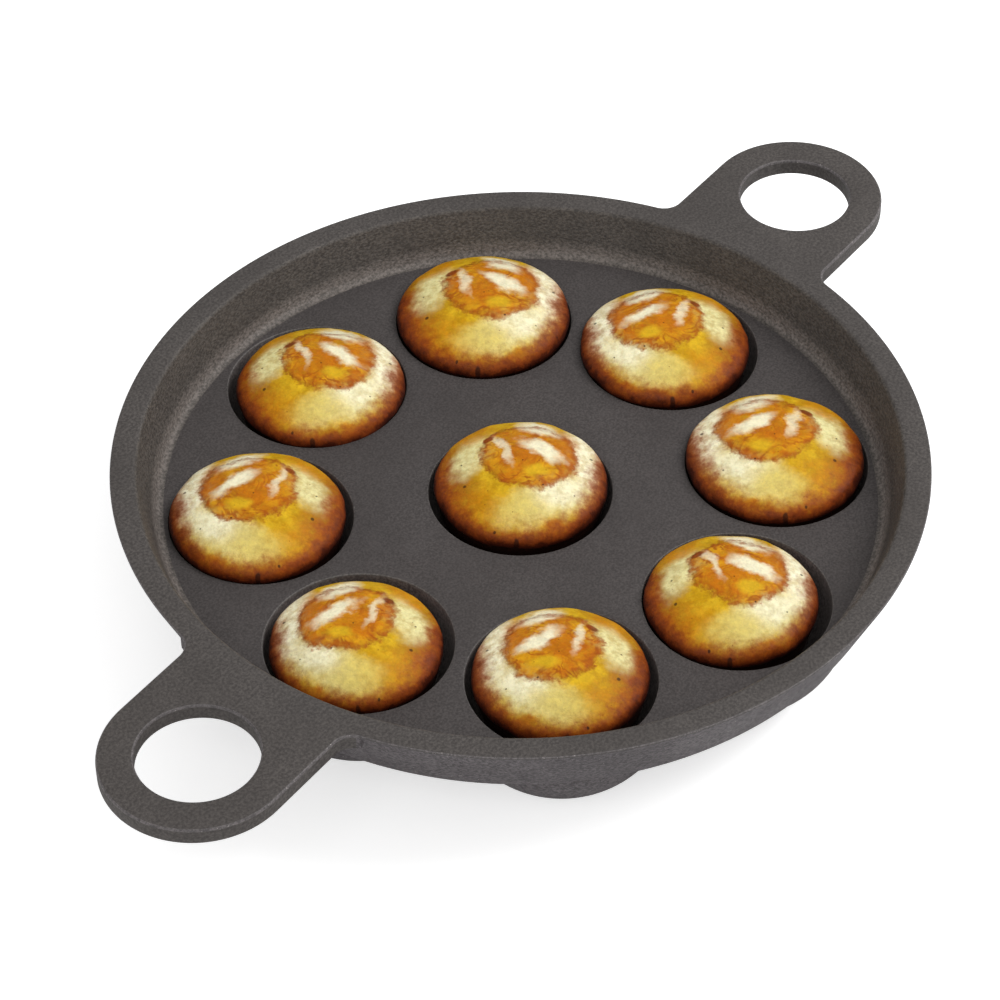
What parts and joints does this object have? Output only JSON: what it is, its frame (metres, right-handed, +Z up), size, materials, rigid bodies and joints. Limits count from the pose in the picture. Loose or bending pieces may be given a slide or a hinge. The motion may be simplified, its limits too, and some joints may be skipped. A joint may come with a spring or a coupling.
{
  "type": "aebleskiver pan",
  "caption": "Round cast-iron aebleskiver pan with two loop handles, a raised rim and domed cups, each holding a browned round cake that lifts out.",
  "frame": {"origin": "centre of the flat bottom of the middle cup, on the surface that the pan stands on", "axes": "+Z up, square to the rim; +X through both handles, towards handle_right; +Y to its left seen from above"},
  "size_m": [0.3468, 0.24, 0.045],
  "materials": {
    "iron": "matte",
    "crust": "satin"
  },
  "bodies": {
    "pan": {"rim_wall": "iron", "handle_left": "iron", "handle_right": "iron", "plate_middle": "iron", "plate_1": "iron", "plate_2": "iron", "plate_3": "iron", "plate_4": "iron", "plate_5": "iron", "plate_6": "iron", "plate_7": "iron", "plate_8": "iron", "cup_middle": "iron", "cup_1": "iron", "cup_2": "iron", "cup_3": "iron", "cup_4": "iron", "cup_5": "iron", "cup_6": "iron", "cup_7": "iron", "cup_8": "iron", "cup_floor_middle": "iron", "cup_floor_1": "iron", "cup_floor_2": "iron", "cup_floor_3": "iron", "cup_floor_4": "iron", "cup_floor_5": "iron", "cup_floor_6": "iron", "cup_floor_7": "iron", "cup_floor_8": "iron"},
    "cake_middle": {"cake_middle": "crust"},
    "cake_1": {"cake_1": "crust"},
    "cake_2": {"cake_2": "crust"},
    "cake_3": {"cake_3": "crust"},
    "cake_4": {"cake_4": "crust"},
    "cake_5": {"cake_5": "crust"},
    "cake_6": {"cake_6": "crust"},
    "cake_7": {"cake_7": "crust"},
    "cake_8": {"cake_8": "crust"}
  },
  "joints": [
    {"name": "lift_cake_middle", "type": "slide", "parent": "pan", "child": "cake_middle", "axis": [0, 0, 1], "range_m": [0, 0.06]},
    {"name": "lift_cake_1", "type": "slide", "parent": "pan", "child": "cake_1", "axis": [0, 0, 1], "range_m": [0, 0.06]},
    {"name": "lift_cake_2", "type": "slide", "parent": "pan", "child": "cake_2", "axis": [0, 0, 1], "range_m": [0, 0.06]},
    {"name": "lift_cake_3", "type": "slide", "parent": "pan", "child": "cake_3", "axis": [0, 0, 1], "range_m": [0, 0.06]},
    {"name": "lift_cake_4", "type": "slide", "parent": "pan", "child": "cake_4", "axis": [0, 0, 1], "range_m": [0, 0.06]},
    {"name": "lift_cake_5", "type": "slide", "parent": "pan", "child": "cake_5", "axis": [0, 0, 1], "range_m": [0, 0.06]},
    {"name": "lift_cake_6", "type": "slide", "parent": "pan", "child": "cake_6", "axis": [0, 0, 1], "range_m": [0, 0.06]},
    {"name": "lift_cake_7", "type": "slide", "parent": "pan", "child": "cake_7", "axis": [0, 0, 1], "range_m": [0, 0.06]},
    {"name": "lift_cake_8", "type": "slide", "parent": "pan", "child": "cake_8", "axis": [0, 0, 1], "range_m": [0, 0.06]}
  ]
}
